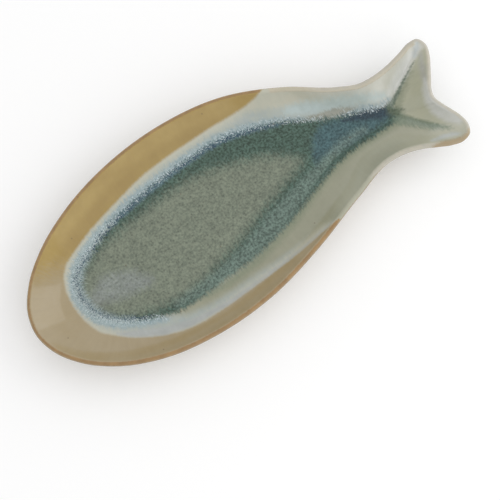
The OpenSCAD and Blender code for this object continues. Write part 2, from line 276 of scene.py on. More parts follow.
RUNS = {
    # Crystals where the halo runs into the pool
    "crystals": [
        (-92, -46.5, 1.2), (-104, -40, 3.2), (-116, -34, 4.2), (-126.6, -27, 4.8), (-134.5, -17.4, 5.2),
        (-138.6, -6, 5.3), (-139.2, 4, 5.3), (-136.2, 12.8, 5.1), (-129.2, 20.4, 5), (-118.4, 27.4, 4.6),
        (-105, 33.8, 4.2), (-90, 38.8, 3.8), (-75, 43, 3.6), (-58, 46.2, 3.4), (-40, 48.4, 3.2),
        (-20, 50, 3.2), (0, 50.6, 3.2), (15, 49.4, 3.2), (30, 46, 3.2), (40, 43.4, 3), (50, 39.8, 2.6),
        (60, 35.4, 2), (70, 30, 1.2), (85, 22.6, 0.5),
    ],
    "tail_crystals": [(100, 17, 0.5), (107, 14.4, 1.2), (115, 11.2, 1.8), (123, 8.2, 1.8), (129, 6.8, 1),
                      (137, 8, 0.6)],
    # Steel blue fringe inside the head end of the pool
    "head_fringe": [(-114, -33.5, 2), (-123.5, -28, 2.8), (-131.5, -20, 3.2), (-136.8, -8.2, 3.6),
                    (-137.6, 2, 3.8), (-134.8, 12.4, 3.6), (-127.6, 20.6, 3.3), (-114.3, 29, 2.6),
                    (-100, 34.8, 1.2), (-86, 38.5, 0.5)],
    # Steel blue fringe inside the far side of the pool
    "far_fringe": [(-90, 37, 1.5), (-75, 40, 1.8), (-60, 42.4, 1.8), (-40, 45.2, 1.8), (-20, 47, 1.8),
                   (0, 48.2, 1.8), (15, 47.4, 1.8), (30, 44, 1.8), (42, 40.2, 1.5), (55, 35, 0.8)],
    # Dark line in the corner between the near wall and the floor
    "corner": [(137, -4, 1.4), (131, -7.2, 1.2), (122, -7.8, 0.8), (105, -7.6, 0.7), (88, -8.2, 0.8),
               (74, -10.8, 0.8), (62, -14.8, 0.6), (50, -19.8, 0.3)],
    # Navy glaze under the crystals at the tail end of the pool
    "navy": [(98, 13, 1), (108, 9.6, 2.4), (116, 6, 3.6), (123, 3, 4.2), (130, 0, 3.2)],
    # Dark glaze that lies in the grooves of the tail
    "far_groove": [(133, 2.4, 2), (136, 3.8, 2.2), (140, 6, 1.5), (145, 9, 1.2), (150, 12, 0.9),
                   (155, 14.8, 0.7), (160, 17.6, 0.5), (166, 20.4, 0.1)],
    "near_groove": [(135, -4, 2.6), (139.5, -11, 1.6), (144.5, -18, 1.2), (149.6, -24.5, 1.2),
                    (154, -30, 0.4)],
    # Thin green glaze beside the grooves
    "far_stain": [(137, -0.5, 3.4), (145, 5.8, 3), (152, 10.6, 2), (160, 15.4, 0.5)],
    "near_stain": [(133, -9, 3.8), (138.5, -15, 3.8), (144.5, -21.5, 3.8), (151, -28, 3.2), (156.5, -34, 2),
                   (160, -38, 0.6)],
    # Soft foot of the hump, where it falls to the pool
    "hump_foot": [(132, -0.5, 3), (135.5, -1.5, 2.4), (138.5, -3.2, 1.6), (141, -5.5, 0.4)],
    # White glaze on the far wall beside the far groove, and blue white glaze at the far tip
    "groove_white": [(137, 10.5, 1.5), (146, 15, 3.4), (156, 20.5, 3.4), (166, 25.5, 1.8)],
    "tip_blue": [(175, 31, 1), (172, 27.5, 2.2), (168, 23.5, 1.4)],
    # Teal mottling in the band between the sage middle and the near wall
    "teal": [(108, -2, 2), (98, -1.5, 3), (85, -3, 3.4), (66, -9.5, 4), (48, -14.5, 5.5), (30, -20.5, 7),
             (10, -27.5, 8), (-15, -35, 6), (-45, -40, 5), (-80, -41, 3)],
    # Soft foot of the near wall, where the pool thins out
    "near_foot": [(134, -11, 2), (120, -11.5, 2), (100, -11.5, 2), (85, -12.5, 2.2), (73, -15, 2.4),
                  (60.5, -19.5, 2.6), (48, -24.5, 2.8), (35.5, -29.5, 2.8), (23, -34.5, 2.8),
                  (10.5, -38, 2.8), (0, -41, 2.8), (-20, -45.5, 2.6), (-40, -47.5, 2), (-60, -47, 1)],
    # Lilac white line between the amber and the olive of the near wall
    "near_halo": [(-129, -36, 0.8), (-122, -41, 2.2), (-112, -46.5, 3), (-100, -52.5, 3.4),
                  (-80, -58.8, 2.6), (-50, -60.6, 1.6), (-20, -58.9, 1.2), (10, -56.7, 1.0),
                  (30, -54, 0.7), (48, -51.4, 0.3)],
    # Grey lilac patch with pale specks in the head end of the pool: a painted soft reflection on the pool,
    # over its own pale specks
    "head_pool_sheen": [(-130, -6, 5), (-116, -4, 10), (-102, -8, 9), (-90, -14, 4)],
    # Blue foot of the far wall toward the tail
    "tail_blue": [(66, 39.5, 3), (78, 34.5, 4), (90, 28.5, 4), (102, 23.4, 3.8), (114, 18.4, 3.4),
                  (124, 14, 2.8), (134, 11, 2)],
    # Beige streak above the tail end of the pool
    "beige_streak": [(72, 29, 0.5), (82, 25, 2.2), (93, 21.5, 2.6), (103, 17.8, 2.2), (110, 15, 0.5)],
    # Pale glaze above the orange patch of the near lobe
    "lobe_halo": [(142, -39, 1), (150, -40.5, 2), (157, -42.5, 1.8), (162, -45, 1)],
    # Amber patch on the near lobe
    "lobe_amber": [(140, -44, 1), (146, -46, 2.6), (153, -49, 3.2), (161, -51, 2.6),
                   (167, -49.5, 1.6), (169.5, -46.5, 0.4)],
    # Grey lilac streak under the notch side of the far lobe's rim: a painted reflection of the light
    "lobe_rim_reflection": [(173, 23, 0.8), (168.5, 15, 1.6), (165, 7, 2), (162.5, 1, 1)],
    # Lilac sheen under the rim of the notch: a painted reflection of the light
    "notch_sheen": [(163.5, 4, 0.4), (160.5, -3, 2.8), (159, -12, 4.4),
                   (160, -20, 5), (163, -29, 4.4), (167, -37, 2.5)],
}
# How far down the outside the tail's overflow runs, and how far the tan band under the lip reaches, at
# some places along the platter, as ways from the crest of the lip
SPILL_REACH = [(85, 0), (97, 3.5), (109, 8.4), (121, 11.2), (133, 12.6), (145, 17), (160, 22)]
TAN_REACH = [(-180, 7), (20, 7.5), (60, 11), (100, 13)]


def along(a, b, share):
    """The value at a share of the way from a to b."""
    return a + (b - a) * share


def smooth_outline(corners, steps):
    """A smooth closed line through the corners, whose tangents weigh the distances on both sides."""
    points = np.array(corners, float)
    before, after = np.roll(points, 1, 0), np.roll(points, -1, 0)
    back = np.linalg.norm(points - before, axis=1)[:, None]
    ahead = np.linalg.norm(after - points, axis=1)[:, None]
    tangent = ((points - before) / back * ahead + (after - points) / ahead * back) / (back + ahead)
    t = (np.arange(steps) / steps)[None, :, None]
    leave, arrive = (tangent * ahead)[:, None], (np.roll(tangent, -1, 0) * ahead)[:, None]
    line = points[:, None] * (2 * t**3 - 3 * t**2 + 1) + after[:, None] * (3 * t**2 - 2 * t**3)
    line = line + leave * (t**3 - 2 * t**2 + t) + arrive * (t**3 - t**2)
    return line.reshape(-1, 2)


class Platter:
    """The platter's faces as rows of points that run from the middle line below, up the outside, over
    the lip, down the inside and across the floor to the middle line above."""

    def __init__(self):
        self.lay_lines()
        self.lay_rows()
        self.join_rows()
        self.soften_tail()
        self.find_normals()
        self.sink_clay()
        self.measure_glaze()

    def lay_lines(self):
        """Lays a line from each point of the outline to the middle line, with what the sections need."""
        names = [row[0] for row in STATION_SHARES]
        stations = np.array([row[1:] for row in STATION_SHARES], float)
        faced = [names.index(row[0]) for row in OUTLINE_SHARES]
        self.outline = smooth_outline([np.array(row[1:3]) * HALF for row in OUTLINE_SHARES], STEPS)
        self.count = len(self.outline)
        entries, keys, amber = [], [], []
        for j, a in enumerate(faced):
            follow = (j + 1) % len(faced)
            b = faced[follow]
            for s in range(STEPS):
                share = s / STEPS if a != b else 0
                entries.append(along(stations[a], stations[b], share))
                keys.append((a, a, 0) if share == 0 else (a, b, s) if a < b else (b, a, STEPS - s))
                amber.append(along(OUTLINE_SHARES[j][3], OUTLINE_SHARES[follow][3], s / STEPS))
        unique = sorted(set(keys))
        self.spine_of = np.array([unique.index(key) for key in keys])
        self.entries, self.amber = np.array(entries), np.array(amber)
        first = [keys.index(key) for key in unique]
        self.spine_entries = self.entries[first]
        tangent = np.roll(self.outline, -1, 0) - np.roll(self.outline, 1, 0)
        tangent /= np.linalg.norm(tangent, axis=1)[:, None]
        inward = np.stack([tangent[:, 1], -tangent[:, 0]], 1)
        reach = self.entries[:, :2] * HALF - self.outline
        self.reach = np.linalg.norm(reach, axis=1)
        self.heading = reach / self.reach[:, None]
        self.slant = np.maximum(SLANT_SHARE, (self.heading * inward).sum(1))
        self.lip_z = RIM_HEIGHT - RIM_DIP * (self.outline[:, 0] / HALF_LENGTH) ** 2
        self.floor_z = along(FLOOR_LEVEL, RIM_HEIGHT, self.entries[:, 2])
        self.under_z = along(FOOT_HEIGHT, RIM_HEIGHT, self.entries[:, 3])

    def on_lines(self, inset, z):
        """A row of points, one on each line, at insets from the outline and at heights."""
        return np.column_stack([self.outline + self.heading * inset[:, None], z])

    def round_lip(self, degrees):
        """Inset and height of a row of the round lip."""
        turn = math.radians(degrees)
        inset = LIP_R * (1 - math.cos(turn)) / self.slant
        return inset, self.lip_z - LIP_R + LIP_R * math.sin(turn)

    def outside(self, t):
        """A row of the outside wall, at shares of the way from the lip to the underside."""
        start, top = self.round_lip(LIP_OUTSIDE_DEGREES)
        end = np.minimum(BASE_INSET / self.slant, self.reach * NARROW_SHARE)
        fall = 1 - (1 - t) ** (1 + OUTSIDE_BOW_SHARE)
        return self.on_lines(along(start, end, t), along(top, self.under_z, fall))

    def inside(self, t):
        """A row of the inside wall, at shares of the way from the lip to the floor."""
        start, top = self.round_lip(LIP_INSIDE_DEGREES)
        end = np.minimum(WELL_INSET / self.slant, self.reach * (1 - self.entries[:, 4]))
        bow = WALL_BOW_SHARE * np.minimum(1, self.reach / WELL_INSET)
        fall = 1 - (1 - t) ** (1 + bow)
        return self.on_lines(along(start, end, t), along(top, self.floor_z, fall))

    def lay_rows(self):
        """Lays the rows of points, and keeps the depth of glaze and the marks between the coats."""
        middle = self.entries[:, :2] * HALF
        below = np.column_stack([middle, self.under_z])
        above = np.column_stack([middle, self.floor_z])
        full = np.ones(self.count)
        rows, depths, marks = [], [], {}
        fork_back, fork_belly = self.lines_of("fork")
        self.in_fork = np.zeros(self.count, bool)
        self.in_fork[fork_back: fork_belly + 1] = True
        bare = np.where(self.in_fork, OUTSIDE_GLAZE, 0.0)
        for k in range(1, UNDER_ROWS):
            rows.append(along(below, self.outside(full), k / UNDER_ROWS))
            depths.append(bare)
        marks["foot"] = len(rows)
        rows.append(self.outside(full))
        depths.append(bare)
        for t in np.linspace(BARE_SHARE, OVERFLOW_SHARE, OUTSIDE_ROWS // 2):
            rows.append(self.outside(full * t))
            depths.append(full * OUTSIDE_GLAZE)
        marks["overflow"] = len(rows) - 1
        for t in np.linspace(OVERFLOW_SHARE, 0, OUTSIDE_ROWS // 2 + 1)[1:-1]:
            rows.append(self.outside(full * t))
            depths.append(full * OUTSIDE_GLAZE)
        marks["lip"] = len(rows)
        turns = np.linspace(LIP_OUTSIDE_DEGREES, LIP_INSIDE_DEGREES, LIP_ROWS)
        for degrees in turns:
            rows.append(self.on_lines(*self.round_lip(degrees)))
            depths.append(full * LIP_GLAZE)
        marks["crest"] = marks["lip"] + int(np.argmin(np.abs(turns - LIP_CREST_DEGREES)))
        marks["amber"] = len(rows) - 1
        walls = [(0, self.amber, AMBER_ROWS), (self.amber, POOL_EDGE_SHARE, WHITE_ROWS),
                 (POOL_EDGE_SHARE, full, POOL_EDGE_ROWS)]
        shares = [along(a, b, k / count) for a, b, count in walls for k in range(1, count + 1)]
        pool_lip = along(WALL_GLAZE, POOL_GLAZE, POOL_LIP_SHARE)
        swell_from = along(self.amber, POOL_EDGE_SHARE, SWELL_SHARE)
        for share in shares:
            rows.append(self.inside(share))
            onset = np.clip(share / (self.amber * ONSET_SHARE), 0, 1)
            swell = np.clip((share - swell_from) / (POOL_EDGE_SHARE - swell_from), 0, 1)
            settle = np.clip((share - POOL_EDGE_SHARE) / ((1 - POOL_EDGE_SHARE) * SETTLE_SHARE), 0, 1)
            depth = along(LIP_GLAZE, WALL_GLAZE, onset)
            depths.append(depth + (pool_lip - WALL_GLAZE) * swell + (POOL_GLAZE - pool_lip) * settle)
        marks["white"] = marks["amber"] + AMBER_ROWS
        marks["green"] = marks["white"] + WHITE_ROWS
        edge = self.inside(full)
        for k in range(1, FLOOR_ROWS):
            rows.append(along(edge, above, k / FLOOR_ROWS))
            depths.append(full * POOL_GLAZE)
        self.marks = marks
        self.rows = len(rows)
        spine = self.spine_entries[:, :2] * HALF
        under = along(FOOT_HEIGHT, RIM_HEIGHT, self.spine_entries[:, 3])
        over = along(FLOOR_LEVEL, RIM_HEIGHT, self.spine_entries[:, 2])
        self.points = np.vstack(rows + [np.column_stack([spine, under]), np.column_stack([spine, over])])
        forked = np.zeros(len(spine), bool)
        forked[self.spine_of[self.in_fork]] = True
        self.depth = np.concatenate(depths + [
            np.where(forked, OUTSIDE_GLAZE, 0.0), np.full(len(spine), POOL_GLAZE)])

    def lines_of(self, station):
        """The first and the last line whose outline point faces a station."""
        facing = [j for j, row in enumerate(OUTLINE_SHARES) if row[0] == station]
        return facing[0] * STEPS, facing[-1] * STEPS

    def between(self, first, last):
        """Marks the lines from the first that faces one station up to the last that faces another."""
        line = np.arange(self.count)
        return (line >= self.lines_of(first)[0]) & (line < self.lines_of(last)[1])

    def join_rows(self):
        """Quads between the rows, as seen from outside, one row of quads after another."""
        grid = np.arange(self.rows * self.count).reshape(self.rows, self.count)
        below = self.rows * self.count + self.spine_of
        above = below + len(self.spine_entries)
        ids = np.vstack([below, grid, above])
        turned = np.roll(ids, -1, 1)
        self.quads = np.stack([ids[1:], turned[1:], turned[:-1], ids[:-1]], 2)

    def soften_tail(self):
        """Evens out the heights, apart from the lip, the foot and the flat underside."""
        loose = np.zeros((self.rows, self.count))
        loose[self.marks["amber"] + 1:] = 1
        ramp = np.linspace(0, 1, AMBER_ROWS // 2)
        loose[self.marks["amber"] + 1: self.marks["amber"] + 1 + len(ramp)] = ramp[:, None]
        loose[: self.marks["lip"] - LIP_GUARD_ROWS, self.in_fork] = 1
        spine = np.ones(len(self.spine_entries))
        under = np.zeros(len(self.spine_entries))
        under[self.spine_of[self.in_fork]] = 1
        loose = np.concatenate([loose.ravel(), under, spine])
        quads = self.quads.reshape(-1, 4)
        edges = np.vstack([quads[:, [0, 1]], quads[:, [1, 2]]])
        edges = edges[edges[:, 0] != edges[:, 1]]
        length = np.linalg.norm(self.points[edges[:, 0]] - self.points[edges[:, 1]], axis=1)
        weight = 1 / np.maximum(length, SHORTEST_EDGE)
        total = len(self.points)
        both = np.concatenate([edges[:, 0], edges[:, 1]])
        other = np.concatenate([edges[:, 1], edges[:, 0]])
        weight = np.concatenate([weight, weight])
        whole = np.bincount(both, weight, total)
        for _ in range(SMOOTHING_ROUNDS):
            z = self.points[:, 2]
            mean = np.bincount(both, weight * z[other], total) / whole
            self.points[:, 2] = z + (mean - z) * loose / 2
        self.points = np.clip(self.points, np.array(cad_low) / MM, np.array(cad_high) / MM)

    def find_normals(self):
        """The face's direction at each point, from the quads round it."""
        quads = self.quads.reshape(-1, 4)
        p = self.points[quads]
        across = np.cross(p[:, 2] - p[:, 0], p[:, 3] - p[:, 1])
        normals = np.zeros_like(self.points)
        for k in range(4):
            np.add.at(normals, quads[:, k], across)
        self.normals = normals / np.linalg.norm(normals, axis=1)[:, None]

    def sink_clay(self):
        """The clay lies under the face by the depth of the glaze."""
        self.clay = self.points - self.normals * self.depth[:, None]

    def measure_glaze(self):
        """What the glazes follow: the way down from the crest of the lip, a band that runs round the
        platter for drips, and the distance inside each pool and run, all in millimetres."""
        grid = self.points[: self.rows * self.count].reshape(self.rows, self.count, 3)
        step = np.linalg.norm(np.diff(grid, axis=0), axis=2)
        way = np.vstack([np.zeros(self.count), np.cumsum(step, 0)])
        way = way - way[self.marks["crest"]]
        spine = len(self.spine_entries)
        under, over = np.zeros(spine), np.zeros(spine)
        under[self.spine_of], over[self.spine_of] = way[0], way[-1]
        self.way = np.concatenate([way.ravel(), under, over])
        arc = np.linalg.norm(np.roll(self.outline, -1, 0) - self.outline, axis=1)
        turn = 2 * np.pi * np.cumsum(arc) / arc.sum()
        radius = arc.sum() / (2 * np.pi)
        ring = np.column_stack([np.cos(turn), np.sin(turn)]) * radius
        rings = np.vstack([np.tile(ring, (self.rows, 1)), np.zeros((2 * spine, 2))])
        for offset in (0, spine):
            rings[self.rows * self.count + offset + self.spine_of] = ring
        self.drip = np.column_stack([rings, self.way])
        self.zones = self.find_zones(self.points[:, :2], self.way)

    def find_zones(self, plan, way):
        """How far each point lies inside each zone of glaze."""
        x, y = plan.T
        zones = {name: inside_border(plan, border) for name, border in POOLS.items()}
        zones.update({name: inside_run(plan, line) for name, line in RUNS.items()})
        zones["crystals"] = np.maximum(zones["crystals"], zones.pop("tail_crystals"))
        zones["low_wall"] = np.minimum(zones["halo"] - HALO_CREAM, way - LOW_WALL_WAY)
        brown = np.interp(y, *zip(*BROWN_LIP_HALVES)) - np.abs(way - BROWN_LIP_WAY)
        zones["brown_lip"] = np.minimum(brown, -zones["halo"])
        zones["thick_amber"] = np.minimum(way - THICK_AMBER_WAY, y - THICK_AMBER_FROM)
        cream = np.minimum(zones["halo"], zones.pop("far_rim"))
        zones["cream_lip"] = np.minimum(CREAM_LIP_HALF - np.abs(way), cream)
        spill = np.interp(x, *zip(*SPILL_REACH))
        spilled = np.minimum(spill + way, SPILL_TOP - way)
        zones["spill"] = np.where(spill > 0, spilled, NOWHERE)
        spill_foot = SPILL_FOOT_HALF - np.abs(spill + way + SPILL_FOOT_HALF)
        zones["spill_foot"] = np.where(spill > 0, spill_foot, NOWHERE)
        zones["tan_band"] = np.interp(x, *zip(*TAN_REACH)) + way
        zones["lip_edge"] = np.minimum(LIP_EDGE_WAY - way, (LIP_EDGE_SPILL - spill) * LIP_EDGE_FADE)
        return zones


def inside_border(points, border):
    """How far each point lies inside a closed border, below 0 where it lies outside."""
    distance = np.full(len(points), np.inf)
    odd = np.zeros(len(points), bool)
    for a, b in zip(np.array(border, float), np.roll(np.array(border, float), -1, 0)):
        t = np.clip((points - a) @ (b - a) / ((b - a) @ (b - a)), 0, 1)
        distance = np.minimum(distance, np.linalg.norm(points - a - t[:, None] * (b - a), axis=1))
        spans = (a[1] > points[:, 1]) != (b[1] > points[:, 1])
        rise = b[1] - a[1] if b[1] != a[1] else 1
        odd ^= spans & (points[:, 0] < a[0] + (points[:, 1] - a[1]) / rise * (b[0] - a[0]))
    return np.where(odd, distance, -distance)


def inside_run(points, line):
    """How far each point lies inside a line of glaze that has its own half width at each point."""
    depth = np.full(len(points), -np.inf)
    for a, b in zip(np.array(line[:-1], float), np.array(line[1:], float)):
        span = b[:2] - a[:2]
        t = np.clip((points - a[:2]) @ span / (span @ span), 0, 1)
        distance = np.linalg.norm(points - a[:2] - t[:, None] * span, axis=1)
        depth = np.maximum(depth, along(a[2], b[2], t) - distance)
    return depth


# Keeps a side that has no area from being divided by 0
LEAST_LENGTH = 1e-12


def sheet_of(platter, name, quads, sunk):
    """A closed piece from quads of the platter's face: the face itself over the clay under it, joined
    round its border. With sunk it is the clay alone."""
    faces = [list(dict.fromkeys(face)) for face in quads.tolist()]
    faces = [face for face in faces if len(face) > 2]
    total = len(platter.points)
    aim = [platter.normals[v] for face in faces for v in face]
    if sunk:
        where, loops = platter.clay, faces
    else:
        where = np.vstack([platter.points, platter.clay])
        under = np.where(platter.depth > 0, np.arange(total) + total, np.arange(total))
        edges = dict.fromkeys(edge for face in faces for edge in zip(face, face[1:] + face[:1]))
        border = [(u, v) for u, v in edges if (v, u) not in edges]
        backs = [[int(under[v]) for v in reversed(face)] for face in faces]
        sides = [list(dict.fromkeys([v, u, int(under[u]), int(under[v])])) for u, v in border]
        sides = [side for side in sides if len(side) > 2]
        loops = faces + backs + sides
        aim += [-platter.normals[v] for face in faces for v in reversed(face)]
        for side in sides:
            corner = where[side]
            normal = np.cross(corner[1] - corner[0], corner[2] - corner[0])
            aim += [normal / max(np.linalg.norm(normal), LEAST_LENGTH)] * len(side)
    used = sorted({v for face in loops for v in face})
    place = {v: k for k, v in enumerate(used)}
    piece = new_piece(name, where[used], [[place[v] for v in face] for face in loops])
    mesh = piece.data
    source = np.array(used) % total
    for key, values in {"way": platter.way, **platter.zones}.items():
        mark = mesh.attributes.new(key, "FLOAT", "POINT")
        mark.data.foreach_set("value", values[source].astype(np.float32))
    drip = mesh.attributes.new("drip", "FLOAT_VECTOR", "POINT")
    drip.data.foreach_set("vector", platter.drip[source].astype(np.float32).ravel())
    mesh.normals_split_custom_set([tuple(n) for n in aim])
    return piece


def new_piece(name, points, faces):
    """A smooth shaded piece from points in mm and faces."""
    mesh = bpy.data.meshes.new(name)
    mesh.from_pydata((points * MM).tolist(), [], faces)
    mesh.polygons.foreach_set("use_smooth", [True] * len(mesh.polygons))
    piece = bpy.data.objects.new(name, mesh)
    bpy.context.scene.collection.objects.link(piece)
    return piece


def belt(rows, count, closed):
    """Quads between closed rows of points, and with closed from the last row back to the first."""
    faces = []
    for row in range(rows if closed else rows - 1):
        upper, lower = row * count, (row + 1) % rows * count
        for k in range(count):
            after = (k + 1) % count
            faces.append([upper + k, upper + after, lower + after, lower + k])
    return faces


def foot_loop(platter, inset, steps_short, taper):
    """A loop of the foot ring at a distance inside the edge of the flat underside. It follows the
    outline round the fish's body, and its tail end is a tapered arc toward the neck."""
    at = platter.outline + platter.heading * ((BASE_INSET + inset) / platter.slant)[:, None]
    waist_back, waist_belly = platter.lines_of("waist")
    short = steps_short * STEPS // SOURCE_STEPS
    back, belly = at[waist_back - short], at[waist_belly + short]
    middle = (back + belly) / 2
    neck = [row for row in STATION_SHARES if row[0] == "neck"][0]
    forward = np.array(neck[1:3]) * HALF - middle
    reach = forward * (1 - inset / np.linalg.norm(forward))
    corners = [at[k] for k in range(0, waist_back, STEPS)] + [back]
    for degrees in FOOT_END_DEGREES:
        turn = math.radians(degrees)
        side = math.copysign(abs(math.cos(turn)) ** taper, math.cos(turn))
        corners.append(middle + reach * math.sin(turn) + (back - middle) * side)
    corners += [belly] + [at[k] for k in range(waist_belly + STEPS, platter.count, STEPS)]
    return smooth_outline(corners, FOOT_STEPS)


def linear(code):
    """An sRGB hex colour as linear red, green, blue and alpha."""
    parts = [int(code[k:k + 2], 16) / 255 for k in (1, 3, 5)]
    return [c / 12.92 if c <= 0.04045 else ((c + 0.055) / 1.055) ** 2.4 for c in parts] + [1.0]


def add(tree, kind, settings=None, links=None):
    """Adds a node with its settings, and its inputs as values or as the outputs they come from."""
    node = tree.nodes.new(kind)
    for key, value in (settings or {}).items():
        setattr(node, key, value)
    for key, value in (links or {}).items():
        if isinstance(value, bpy.types.NodeSocket):
            tree.links.new(value, node.inputs[key])
        else:
            node.inputs[key].default_value = value
    return node


# Kinds of node
MATH, VECTOR_MATH = "ShaderNodeMath", "ShaderNodeVectorMath"
RANGE, MIX = "ShaderNodeMapRange", "ShaderNodeMix"
NOISE, CELLS, BUMP = "ShaderNodeTexNoise", "ShaderNodeTexVoronoi", "ShaderNodeBump"
MARK, PLACE = "ShaderNodeAttribute", "ShaderNodeTexCoord"
# Sockets of a colour mix, and those of the two numbers in a mix of numbers
FACTOR, FIRST, SECOND, MIXED = 0, 6, 7, 2
FIRST_NUMBER, SECOND_NUMBER = 2, 3

# The two mottled colours of the amber glaze that lies under all the others inside, and of the greige
# glaze outside, at the foot and under the lip
FIRST_COAT = ("#A2884B", "#AC9355")
OUTSIDE_COAT = ("#9A8F7B", "#A79D8A")
# Layers of the glazes inside, from the first coat up: the zone they fill, their two mottled colours,
# the grain of the mottling in mm, how soft and how ragged their edge is in mm, and their strength
INSIDE_LAYERS = [
    ("thick_amber", "#967C40", "#9E8547", 20, 5, 1.0, 0.7),
    ("greige", "#A39372", "#A8997B", 30, 12, 4, 1.0),
    ("halo", "#BFBDAC", "#BBBBAB", 12, 1.4, 0.3, 1.0),
    ("low_wall", "#A4AEAC", "#ABB2AA", 6, 4, 2.0, 0.9),
    # Painted light: the tail's far wall is lit brighter in its colour, over its cream halo
    ("lit_tail_wall", "#CFCFC6", "#C8C8BE", 10, 4, 1.0, 0.85),
    ("tail_blue", "#B9C8C7", "#B1C0BF", 6, 3, 1.5, 0.8),
    ("crystals", "#9FB1B4", "#899DA3", 2.5, 2.2, 2.0, 0.9),
    ("near_halo", "#B0B4B2", "#A8ACAA", 8, 1.6, 0.4, 0.9),
    ("olive", "#979883", "#9E9E89", 20, 4.0, 0.5, 1.0),
    ("near_tail", "#AEAE9B", "#A9A996", 20, 9.0, 0.5, 0.9),
    ("beige_streak", "#8F9083", "#959588", 3, 1.0, 1.5, 0.85),
    ("near_foot", "#808A71", "#768069", 1.8, 4.0, 1.0, 0.7),
    ("pool", "#263D2F", "#4F6A5E", 1.7, 2.4, 2.0, 1.0),
    ("blue_end", "#2C4A50", "#4A6B72", 1.7, 4.0, 3.0, 0.85),
    ("navy", "#182E3C", "#28404E", 1.7, 2.0, 2.0, 0.9),
    ("sage", "#687162", "#808876", 1.7, 7.0, 4.0, 1.0),
    # Painted reflection: a soft grey lilac sheen on the head end of the pool
    ("head_pool_sheen", "#7C8380", "#969C9C", 1.5, 5.0, 3.0, 0.6),
    ("teal", "#596A61", "#85998F", 1.7, 4.0, 2.0, 0.6),
    ("far_fringe", "#53707E", "#6A8592", 1.7, 2.0, 1.5, 0.65),
    ("head_fringe", "#93A6A8", "#B0BCBB", 1.6, 3.0, 3.0, 0.9),
    ("corner", "#264237", "#3E5A50", 1.7, 0.9, 0.3, 0.9),
    ("near_stain", "#6B7B69", "#7F8E7B", 1.8, 2.4, 2.0, 0.7),
    ("hump", "#B1B19A", "#ADAE99", 12, 1.5, 0.6, 1.0),
    # Painted reflection: grey lilac streak under the far lobe's rim by the notch
    ("lobe_rim_reflection", "#B0B0AC", "#A7A7A2", 5, 2.5, 0.8, 0.75),
    # Painted reflection: pale lilac sheen under the rim of the notch
    ("notch_sheen", "#C9CAC6", "#C4C5BF", 10, 2.2, 0.6, 0.85),
    ("groove_white", "#DADBD7", "#D4D6D2", 6, 2.0, 0.8, 0.8),
    ("tip_blue", "#BBC3C3", "#B3BABB", 6, 2.0, 0.8, 0.8),
    ("far_stain", "#788069", "#838A74", 1.8, 3.0, 1.5, 0.65),
    ("far_groove", "#506050", "#647362", 1.7, 1.1, 0.8, 0.85),
    ("near_groove", "#5C6A50", "#707C64", 1.7, 1.4, 0.8, 0.65),
    ("hump_foot", "#43523F", "#5F6C57", 1.8, 2.4, 1.5, 0.85),
    ("lobe_halo", "#B7BCBA", "#B0B5B1", 5, 1.5, 0.8, 0.8),
    ("cream_lip", "#C0B7A2", "#B7AE98", 9, 0.9, 0.5, 0.8),
    ("spill", "#BDB7A8", "#B5B1A4", 5, 1.0, 0.5, 0.8),
    ("lobe_amber", "#967C4E", "#9F8860", 5, 1.6, 1.0, 0.7),
    ("brown_lip", "#91744D", "#A08156", 9, 0.6, 0.5, 1.0),
    ("lip_edge", "#8E7A5E", "#9A886C", 9, 0.5, 0.4, 0.8),
]
# Layers of the glazes outside, in the same way
OUTSIDE_LAYERS = [
    ("tan_band", "#AF9D79", "#B2A284", 6, 3.0, 0.5, 0.75),
    ("spill_foot", "#A48F68", "#AD9C7C", 4, 1.2, 0.6, 0.8),
    ("spill", "#C9C9BE", "#B1B8B8", 2.5, 1.6, 0.6, 0.95),
]
# Grain of the mottling of the first coat, of the base coat and of the bare clay in mm
FIRST_COAT_GRAIN, BASE_COAT_GRAIN, CLAY_GRAIN = 30, 18, 6
# The part of the mottling's noise over which one colour of a layer turns into the other
MOTTLE_LOW, MOTTLE_HIGH = 0.38, 0.62
# Noise that makes edges ragged: its width and length in mm and its detail, and what it is multiplied
# by, as it stays within about a fifth of its middle
RAGGED_NOISE = (1.5, 4.0, 3.0)
RAGGED_REACH = 4.0
# Runs that darken and lighten the glaze down the walls: their width and length in mm and their detail,
# and how much they shade
RUN_NOISE = (3.0, 30.0, 2.0)
RUN_SHADE = 0.1
# Kinds of crystal: colour, how far inside the pool they crowd in mm, how much they crowd there, their
# width and length in mm, and their strength
CRYSTAL_KINDS = [
    ("#C6D4D9", -0.6, -0.02, 0.9, 1.6, 0.65),
    ("#213E52", 2.7, 0.04, 0.9, 1.2, 0.85),
    ("#D3DCDE", 1.4, -0.07, 0.8, 1.1, 0.7),
]
# How much the crystals thin out in each mm away from where they crowd, and in each mm out of their
# run, and how much noise there is between bare glaze and a full crystal
CRYSTALS_THIN_OUT, CRYSTALS_EDGE, CRYSTAL_SOFT = 0.045, 0.08, 0.045
# Iron specks in the glaze: how far apart they are and how large, in mm, their strength and colour
SPECKS_APART, SPECK_SIZE, SPECK_STRENGTH = 60, 0.9, 0.6
SPECK_COLOUR = "#5E4A33"
# Clouds of the pool: their size in mm, the part of the noise they use and how they shade the colour
CLOUD_SIZE = 7
CLOUD_LOW, CLOUD_HIGH = 0.35, 0.65
CLOUD_DARK, CLOUD_LIGHT = 0.92, 1.08
# Pin holes of the pool: how far apart and how large they are in mm, and the share of the colour that
# is left in them. All of this mottling is full this many mm inside the pool
PINS_APART, PIN_SIZE, PIN_SHADE = 4.6, 1.3, 0.7
POOL_GRAIN_FULL = 3.0
# The glaze outside darkens toward the foot between two ways down from the crest, which clouds of a
# size shift, all in mm
OUTSIDE_DARK_WAY, OUTSIDE_LIGHT_WAY = -31.0, -9.0
OUTSIDE_CLOUD_SIZE, OUTSIDE_CLOUD_SHIFT = 14, 6.0
# How many times longer than wide the streaks along the lip are
LIP_STREAKS = 6
